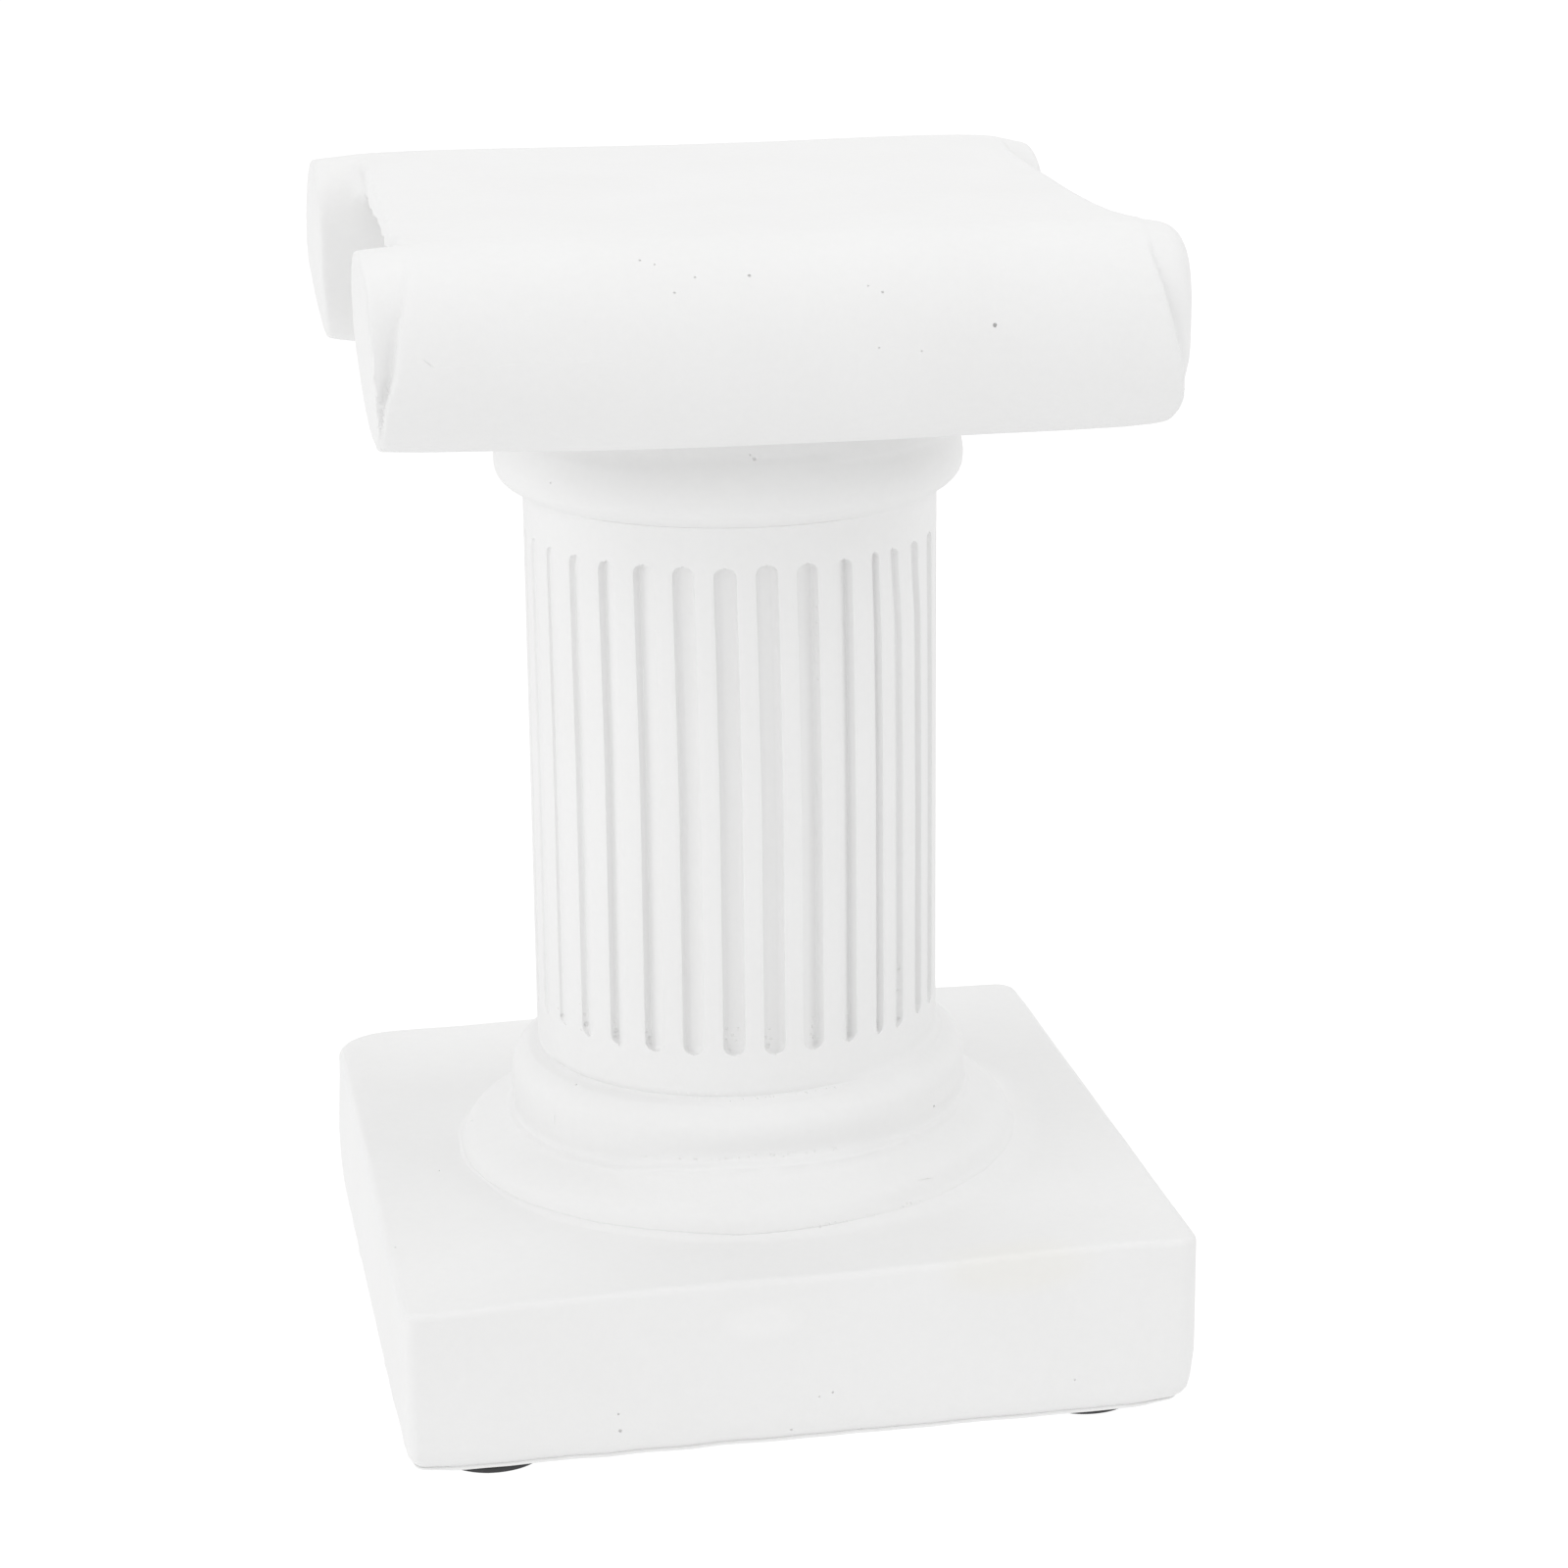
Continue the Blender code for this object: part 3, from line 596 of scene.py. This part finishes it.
def settle(field, verts, step, rounds=2):
    """Moves vertices onto the exact surface of the field."""
    for _ in range(rounds):
        f = field(verts)
        g = np.empty_like(verts)
        d = 0.04
        for a in range(3):
            e = np.zeros(3)
            e[a] = d
            g[:, a] = (field(verts + e) - field(verts - e)) / (2 * d)
        g2 = np.maximum((g ** 2).sum(axis=1), 0.2)
        move = -(f / g2)[:, None] * g
        length = np.linalg.norm(move, axis=1)
        move *= np.minimum(1.0, 0.4 * step / np.maximum(length, 1e-9))[:, None]
        verts = verts + move
    return verts


def build_capital():
    step = 0.45
    low, high = (-51.0, -51.2, Z_TOP + 101.0), (50.6, 51.2, Z_TOP + 128.0)
    verts, quads = surface_nets(capital_field, low, high, step)
    verts = settle(capital_field, verts, step)
    obj = mesh_object("capital", verts, quads.tolist())
    faces = len(quads) * 2
    mod = obj.modifiers.new("fewer", "DECIMATE")
    mod.ratio = min(1.0, 58000 / faces)
    apply_modifiers(obj)
    obj.data.shade_smooth()
    return obj


# ------------------------------------------------------------------ materials
def node(tree, kind, **values):
    n = tree.nodes.new(kind)
    for key, value in values.items():
        if key in n.inputs:
            n.inputs[key].default_value = value
        else:
            setattr(n, key, value)
    return n


def plaster_material():
    mat = bpy.data.materials.new("plaster")
    mat.use_nodes = True
    tree = mat.node_tree
    bsdf = tree.nodes["Principled BSDF"]
    link = tree.links.new
    coords = node(tree, "ShaderNodeTexCoord")
    # broad, faint tone changes
    broad = node(tree, "ShaderNodeTexNoise")
    broad.inputs["Scale"].default_value = 55.0
    broad.inputs["Detail"].default_value = 3.0
    link(coords.outputs["Object"], broad.inputs["Vector"])
    ramp = node(tree, "ShaderNodeValToRGB")
    ramp.color_ramp.elements[0].position = 0.30
    ramp.color_ramp.elements[0].color = (0.812, 0.811, 0.808, 1)
    ramp.color_ramp.elements[1].position = 0.62
    ramp.color_ramp.elements[1].color = (0.822, 0.822, 0.820, 1)
    link(broad.outputs["Fac"], ramp.inputs["Fac"])
    # fine speckle
    fine = node(tree, "ShaderNodeTexNoise")
    fine.inputs["Scale"].default_value = 900.0
    fine.inputs["Detail"].default_value = 4.0
    fine.inputs["Roughness"].default_value = 0.6
    link(coords.outputs["Object"], fine.inputs["Vector"])
    speck = node(tree, "ShaderNodeMapRange")
    speck.inputs["From Min"].default_value = 0.3
    speck.inputs["From Max"].default_value = 0.7
    speck.inputs["To Min"].default_value = 0.992
    speck.inputs["To Max"].default_value = 1.006
    link(fine.outputs["Fac"], speck.inputs["Value"])
    mix = node(tree, "ShaderNodeVectorMath")
    mix.operation = "SCALE"
    link(ramp.outputs["Color"], mix.inputs[0])
    link(speck.outputs["Result"], mix.inputs["Scale"])
    # two faint marks on the front of the plinth: a paler blot and a slightly warm stain
    tint = mix.outputs["Vector"]
    for middle, reach, colour in (((-6.0, -49.4, 17.2), (5.2, 3.0, 2.4), (1.022, 1.022, 1.022)), ((27.0, -49.0, 21.5), (11.0, 5.0, 3.4), (1.0, 0.994, 0.972))):
        away = node(tree, "ShaderNodeVectorMath")
        away.operation = "SUBTRACT"
        link(coords.outputs["Object"], away.inputs[0])
        away.inputs[1].default_value = [v * MM for v in middle]
        size = node(tree, "ShaderNodeVectorMath")
        size.operation = "DIVIDE"
        link(away.outputs["Vector"], size.inputs[0])
        size.inputs[1].default_value = [v * MM for v in reach]
        length = node(tree, "ShaderNodeVectorMath")
        length.operation = "LENGTH"
        link(size.outputs["Vector"], length.inputs[0])
        uneven = node(tree, "ShaderNodeMath")
        uneven.operation = "ADD"
        link(length.outputs["Value"], uneven.inputs[0])
        link(broad.outputs["Fac"], uneven.inputs[1])
        fade = node(tree, "ShaderNodeMapRange")
        fade.inputs["From Min"].default_value = 1.0
        fade.inputs["From Max"].default_value = 1.6
        fade.inputs["To Min"].default_value = 1.0
        fade.inputs["To Max"].default_value = 0.0
        link(uneven.outputs["Value"], fade.inputs["Value"])
        tinted = node(tree, "ShaderNodeMix")
        tinted.data_type = "VECTOR"
        tinted.inputs[4].default_value = (1.0, 1.0, 1.0)
        tinted.inputs[5].default_value = colour
        link(fade.outputs["Result"], tinted.inputs[0])
        times = node(tree, "ShaderNodeVectorMath")
        times.operation = "MULTIPLY"
        link(tint, times.inputs[0])
        link(tinted.outputs[1], times.inputs[1])
        tint = times.outputs["Vector"]
    link(tint, bsdf.inputs["Base Color"])
    rough = node(tree, "ShaderNodeMapRange")
    rough.inputs["To Min"].default_value = 0.78
    rough.inputs["To Max"].default_value = 0.92
    link(fine.outputs["Fac"], rough.inputs["Value"])
    link(rough.outputs["Result"], bsdf.inputs["Roughness"])
    bsdf.inputs["Specular IOR Level"].default_value = 0.25
    # grain and slight unevenness
    grain = node(tree, "ShaderNodeTexNoise")
    grain.inputs["Scale"].default_value = 2200.0
    grain.inputs["Detail"].default_value = 3.0
    link(coords.outputs["Object"], grain.inputs["Vector"])
    soft = node(tree, "ShaderNodeTexNoise")
    soft.inputs["Scale"].default_value = 260.0
    soft.inputs["Detail"].default_value = 2.0
    link(coords.outputs["Object"], soft.inputs["Vector"])
    bump1 = node(tree, "ShaderNodeBump")
    bump1.inputs["Strength"].default_value = 0.35
    bump1.inputs["Distance"].default_value = 0.00006
    link(grain.outputs["Fac"], bump1.inputs["Height"])
    bump2 = node(tree, "ShaderNodeBump")
    bump2.inputs["Strength"].default_value = 0.2
    bump2.inputs["Distance"].default_value = 0.00018
    link(soft.outputs["Fac"], bump2.inputs["Height"])
    link(bump1.outputs["Normal"], bump2.inputs["Normal"])
    link(bump2.outputs["Normal"], bsdf.inputs["Normal"])
    return mat


def rubber_material():
    mat = bpy.data.materials.new("pad")
    mat.use_nodes = True
    tree = mat.node_tree
    bsdf = tree.nodes["Principled BSDF"]
    link = tree.links.new
    coords = node(tree, "ShaderNodeTexCoord")
    noise = node(tree, "ShaderNodeTexNoise")
    noise.inputs["Scale"].default_value = 1400.0
    noise.inputs["Detail"].default_value = 3.0
    link(coords.outputs["Object"], noise.inputs["Vector"])
    ramp = node(tree, "ShaderNodeValToRGB")
    ramp.color_ramp.elements[0].color = (0.020, 0.020, 0.022, 1)
    ramp.color_ramp.elements[1].color = (0.050, 0.050, 0.052, 1)
    link(noise.outputs["Fac"], ramp.inputs["Fac"])
    link(ramp.outputs["Color"], bsdf.inputs["Base Color"])
    bsdf.inputs["Roughness"].default_value = 0.7
    bump = node(tree, "ShaderNodeBump")
    bump.inputs["Strength"].default_value = 0.3
    bump.inputs["Distance"].default_value = 0.00008
    link(noise.outputs["Fac"], bump.inputs["Height"])
    link(bump.outputs["Normal"], bsdf.inputs["Normal"])
    return mat


# ------------------------------------------------------------------ casting marks
# pinholes: x, y, height from the plinth's top, radius, and how far the bubble lies under the surface (in radii)
PINHOLES = (
    # front scroll
    (-17.8, -44.3, 125.1, 0.17, 0.3), (-16.2, -44.9, 124.6, 0.15, 0.3), (-11.8, -46.6, 123.3, 0.18, 0.3), (-5.5, -46.6, 123.2, 0.23, 0.4),
    (-14.4, -47.8, 121.8, 0.17, 0.3), (8.1, -47.9, 121.7, 0.14, 0.3), (9.7, -48.4, 121.0, 0.18, 0.4), (22.6, -50.0, 116.9, 0.33, 0.6),
    (8.9, -50.2, 114.9, 0.14, 0.3), (13.9, -50.2, 114.3, 0.13, 0.3),
    # plinth
    (-50.5, 25.3, -12.0, 0.20, 0.3), (-49.0, -29.9, -0.2, 0.16, 0.2), (-40.9, -5.8, -0.2, 0.16, 0.2), (-24.0, -49.4, -16.4, 0.18, 0.3),
    (-23.8, -49.4, -18.7, 0.26, 0.4), (-2.3, -49.1, -20.8, 0.20, 0.3), (2.9, -49.4, -16.1, 0.17, 0.3), (1.2, -49.4, -16.5, 0.14, 0.2),
    (33.9, -49.4, -17.4, 0.16, 0.3),
    # mouldings, neck and shaft
    (22.3, -20.5, 9.3, 0.19, 0.3), (-23.6, -14.4, 13.7, 0.17, 0.2), (-35.2, 5.4, 2.1, 0.15, 0.2), (-1.9, -28.6, 97.9, 0.24, 0.1),
    (-2.4, -28.6, 98.4, 0.15, 0.1), (-25.0, -16.4, 93.5, 0.14, 0.2),
    # the sides that face away carry a few as well
    (12.0, 50.1, 115.0, 0.20, 0.3), (-21.0, 48.6, 120.5, 0.16, 0.3), (33.0, 47.5, 122.0, 0.18, 0.3), (48.0, 33.0, 117.0, 0.18, 0.3),
    (-49.4, 36.0, 111.0, 0.16, 0.3), (47.4, -36.0, 116.5, 0.17, 0.3), (18.0, 49.4, -9.0, 0.22, 0.4), (-29.0, 49.4, -14.0, 0.17, 0.3),
    (49.9, 12.0, -8.0, 0.20, 0.3), (49.9, -21.0, -15.0, 0.16, 0.3), (20.0, 23.5, 11.0, 0.17, 0.3), (-6.0, 30.8, 10.5, 0.15, 0.2),
    (22.0, 10.0, 8.0, 0.16, 0.2), (30.0, 30.0, 0.1, 0.17, 0.2),
)
# small bubbles left at the lower ends of the flutes, where the plaster filled the mould last
FLUTE_BUBBLES = (
    (-24.7, -8.7, 22.3, 0.24), (-24.4, -8.8, 21.3, 0.30), (-24.8, -8.9, 20.8, 0.22), (-22.7, -13.5, 24.4, 0.17), (-22.3, -13.4, 23.0, 0.26),
    (-22.0, -13.3, 21.6, 0.34), (-22.6, -13.6, 20.9, 0.24), (-18.8, -17.3, 21.8, 0.34), (-18.4, -17.6, 21.1, 0.30), (-18.9, -17.5, 23.1, 0.18),
    (-15.6, -20.9, 22.9, 0.28), (-15.1, -20.6, 21.6, 0.38), (-14.8, -20.9, 20.9, 0.26), (-15.5, -21.1, 21.1, 0.30), (-15.4, -20.8, 24.2, 0.20),
    (-5.5, -24.8, 23.7, 0.22), (-4.9, -24.9, 22.7, 0.26), (-5.7, -24.8, 22.2, 0.24), (-4.5, -25.0, 22.0, 0.20), (-4.2, -25.1, 23.7, 0.18),
    (-0.5, -25.4, 21.3, 0.40), (-1.0, -25.5, 22.5, 0.22), (0.0, -25.4, 22.1, 0.24), (-0.2, -25.4, 23.5, 0.18),
    (5.5, -24.7, 23.2, 0.26), (5.1, -24.8, 22.2, 0.24), (5.7, -24.7, 21.7, 0.28), (5.9, -24.8, 24.3, 0.17),
    (10.0, -23.2, 22.3, 0.28), (10.4, -23.2, 21.2, 0.32), (10.1, -23.2, 24.0, 0.2), (14.3, -20.9, 21.7, 0.26), (14.6, -21.2, 20.9, 0.22),
    (17.5, -19.9, 22.5, 0.22), (18.2, -18.0, 20.9, 0.24), (17.9, -18.3, 24.9, 0.22), (18.1, -18.1, 27.8, 0.20), (-5.2, -25.0, 20.9, 0.22),
    # a rough right-hand wall high up in one flute
    (6.4, -24.9, 78.2, 0.18), (6.5, -25.0, 76.3, 0.22), (6.4, -24.9, 74.5, 0.20), (6.5, -25.0, 72.6, 0.24), (6.4, -24.9, 70.9, 0.17),
    (6.5, -25.0, 68.9, 0.20),
)
# fine scratches: from, to, radius
SCRATCHES = (
    ((-43.6, -50.1, 115.9), (-42.4, -50.2, 114.9), 0.10), ((14.0, -22.6, 62.6), (15.1, -21.9, 62.4), 0.08), ((-26.5, -14.2, 9.6), (-26.5, -14.2, 8.3), 0.09),
    ((18.0, -30.7, 3.4), (20.1, -29.6, 3.1), 0.08), ((-49.7, -40.3, 124.9), (-49.5, -41.2, 121.3), 0.07),
)


def rough_line(points, count, spread, radius, seed):
    """Places of tiny pits scattered along a line of points."""
    rng = np.random.default_rng(seed)
    P = np.array(points, float)
    t = np.sort(rng.uniform(0, len(P) - 1, count))
    i = np.minimum(t.astype(int), len(P) - 2)
    Q = P[i] + (P[i + 1] - P[i]) * (t - i)[:, None] + rng.normal(0, spread, (count, 3))
    return [(*q, float(radius * k)) for q, k in zip(Q, rng.uniform(0.7, 1.25, count))]


def press_marks(body):
    """Presses the pinholes, bubbles and scratches into the plaster."""
    bm = bmesh.new()
    bm.from_mesh(body.data)
    tree = BVHTree.FromBMesh(bm)
    bm.free()
    cutter = bmesh.new()

    def snap(x, y, h):
        place, normal, _, _ = tree.find_nearest(Vector((x, y, h + Z_TOP)) * MM)
        return place, normal

    def ball(x, y, h, radius, under, level=2):
        place, normal = snap(x, y, h)
        made = bmesh.ops.create_icosphere(cutter, subdivisions=level, radius=radius * MM)["verts"]
        turn = Matrix.Rotation(1.7 * x + 0.9 * h, 4, "Z") @ Matrix.Rotation(2.3 * y + 0.4 * x, 4, "X")
        bmesh.ops.transform(cutter, matrix=Matrix.Translation(place - normal * (under * radius * MM)) @ turn, verts=made)

    for x, y, h, radius, under in PINHOLES:
        ball(x, y, h, radius, under)
    for x, y, h, radius in FLUTE_BUBBLES:
        ball(x, y, h, radius, -0.4)
    waist = rough_line([(-17.9, -23.8, 7.0), (-8.6, -28.6, 7.8), (-1.2, -29.8, 8.1), (3.3, -29.6, 8.1), (9.0, -28.5, 7.9)], 34, 0.16, 0.12, 71)
    crease = rough_line([(-12.0, -24.0, 14.8), (-5.0, -26.3, 14.9), (2.0, -26.7, 14.9), (9.0, -25.2, 15.1)], 30, 0.12, 0.11, 72)
    foot = rough_line([(1.5, -37.0, 0.8), (8.0, -36.2, 1.0), (14.5, -34.1, 1.2), (18.0, -32.4, 1.4)], 20, 0.14, 0.12, 73)
    for x, y, h, radius in waist + crease + foot:
        ball(x, y, h, radius, -0.1, 1)
    for a, b, radius in SCRATCHES:
        pa, na = snap(*a)
        pb, nb = snap(*b)
        made = bmesh.ops.create_icosphere(cutter, subdivisions=2, radius=1.0)["verts"]
        along = pb - pa
        turn = along.to_track_quat("Z", "Y").to_matrix().to_4x4()
        size = Matrix.Diagonal((radius * MM, radius * MM, along.length / 2 + radius * MM, 1.0))
        bmesh.ops.transform(cutter, matrix=Matrix.Translation((pa + pb) / 2) @ turn @ size, verts=made)
    mesh = bpy.data.meshes.new("marks")
    cutter.to_mesh(mesh)
    cutter.free()
    marks = bpy.data.objects.new("marks", mesh)
    bpy.context.scene.collection.objects.link(marks)
    mod = body.modifiers.new("marks", "BOOLEAN")
    mod.operation = "DIFFERENCE"
    mod.solver = "EXACT"
    mod.use_self = True
    mod.object = marks
    apply_modifiers(body)
    bpy.data.objects.remove(marks, do_unlink=True)


# ------------------------------------------------------------------ the pieces
def build_column(mat):
    verts, faces = build_lower_body()
    body = mesh_object("plaster_column", verts, faces)
    capital = build_capital()
    mod = body.modifiers.new("join", "BOOLEAN")
    mod.operation = "UNION"
    mod.solver = "EXACT"
    mod.object = capital
    apply_modifiers(body)
    bpy.data.objects.remove(capital, do_unlink=True)
    press_marks(body)
    body.data.shade_smooth()
    body.data.set_sharp_from_angle(angle=math.radians(50))
    body.data.materials.clear()
    body.data.materials.append(mat)
    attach(body, "root")
    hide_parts("column")
    return body


def build_pad(name, mat):
    low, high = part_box(name)
    cx, cy = (low.x + high.x) / 2 / MM, (low.y + high.y) / 2 / MM
    radius, thick = (high.x - low.x) / 2 / MM - 0.02, Z_UNDER - 0.01
    n = 72
    profile = [(0.0, 0.0), (radius * 0.6, 0.0), (radius - 0.30, 0.0), (radius - 0.12, 0.04), (radius - 0.03, 0.13), (radius, 0.26),
               (radius - 0.01, thick - 0.24), (radius - 0.06, thick - 0.11), (radius - 0.18, thick - 0.02), (radius - 0.4, thick), (0.0, thick)]
    skin = Skin()
    a = TAU * np.arange(n) / n
    for r, zz in profile:
        if r == 0.0:
            skin.add([(cx, cy, zz)])
        else:
            rr = r + (0.03 * np.sin(3 * a + cx) + 0.02 * np.sin(7 * a + cy) - 0.05 if r > radius * 0.7 else 0.0)
            skin.add(np.column_stack([cx + rr * np.cos(a), cy + rr * np.sin(a), np.full(n, zz)]))
    pad = mesh_object("stick_on_" + name, skin.verts(), skin.faces)
    pad.data.set_sharp_from_angle(angle=math.radians(50))
    pad.data.materials.append(mat)
    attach(pad, "root")
    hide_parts(name)
    return pad


# ------------------------------------------------------------------ camera, floor and light
def build_camera():
    az, el, roll = math.radians(10.648), math.radians(16.724), math.radians(-0.533)
    fwd = Vector((math.sin(az) * math.cos(el), math.cos(az) * math.cos(el), -math.sin(el)))
    right = Vector((math.cos(az), -math.sin(az), 0.0))
    up = right.cross(fwd)
    r2 = right * math.cos(roll) + up * math.sin(roll)
    u2 = up * math.cos(roll) - right * math.sin(roll)
    data = bpy.data.cameras.new("camera")
    data.sensor_width = 36.0
    data.lens = 92.066
    data.clip_start = 0.01
    data.clip_end = 50.0
    cam = bpy.data.objects.new("camera", data)
    m = Matrix((r2, u2, -fwd)).transposed().to_4x4()
    m.translation = Vector((-86.426, -495.519, 199.507 + Z_TOP)) * MM
    cam.matrix_world = m
    bpy.context.scene.collection.objects.link(cam)
    bpy.context.scene.camera = cam
    return cam


# broad lights round the room: compass angle from the front towards the right, height angle, spread, strength
LIGHTS = (
    (240, -45, 70, 0.167), (120, -45, 70, 0.122), (0, -45, 70, 0.107), (180, 65, 50, 0.151), (75, 35, 40, 0.135), (285, 35, 40, 0.135),
    (315, 5, 40, 0.100), (45, 5, 40, 0.049), (180, 5, 40, 0.045), (330, 35, 40, 0.034), (270, 5, 40, 0.029), (90, 5, 40, 0.021),
    (0, 65, 50, 0.012), (20, 35, 40, 0.0105), (90, 65, 50, 0.005),
)
ROOM_LIGHT = 0.7355
FLOOR_GLOW = 0.95


def broad_light(name, around, height, spread, strength):
    data = bpy.data.lights.new(name, "SUN")
    data.energy = math.pi * strength
    data.angle = math.radians(spread)
    obj = bpy.data.objects.new(name, data)
    a, h = math.radians(around), math.radians(height)
    towards = Vector((math.sin(a) * math.cos(h), -math.cos(a) * math.cos(h), math.sin(h)))
    obj.rotation_euler = (-towards).to_track_quat("-Z", "Y").to_euler()
    bpy.context.scene.collection.objects.link(obj)
    return obj


def build_studio():
    bpy.ops.mesh.primitive_plane_add(size=8.0, location=(0, 0, 0))
    floor = bpy.context.object
    floor.name = "floor"
    mat = bpy.data.materials.new("floor")
    mat.use_nodes = True
    bsdf = mat.node_tree.nodes["Principled BSDF"]
    bsdf.inputs["Base Color"].default_value = (0.12, 0.12, 0.12, 1)
    bsdf.inputs["Roughness"].default_value = 0.9
    bsdf.inputs["Specular IOR Level"].default_value = 0.0
    bsdf.inputs["Emission Color"].default_value = (1, 1, 1, 1)
    bsdf.inputs["Emission Strength"].default_value = FLOOR_GLOW
    floor.data.materials.append(mat)
    # the white sheet lies well below a clear shelf: it is seen, and throws no light of its own on the column
    floor.visible_diffuse = False
    floor.visible_glossy = False
    floor.visible_shadow = False

    world = bpy.data.worlds.new("studio")
    bpy.context.scene.world = world
    world.use_nodes = True
    background = world.node_tree.nodes["Background"]
    background.inputs["Color"].default_value = (1, 1, 1, 1)
    background.inputs["Strength"].default_value = ROOM_LIGHT

    for i, light in enumerate(LIGHTS):
        broad_light("light_%02d" % i, *light)

    view = bpy.context.scene.view_settings
    view.view_transform = "Standard"
    view.look = "None"
    view.exposure = 0.0
    view.gamma = 1.0


def main():
    build_camera()
    build_studio()
    plaster = plaster_material()
    rubber = rubber_material()
    build_column(plaster)
    for name in ("foot_pad_front_left", "foot_pad_front_right", "foot_pad_back_left", "foot_pad_back_right"):
        build_pad(name, rubber)


main()
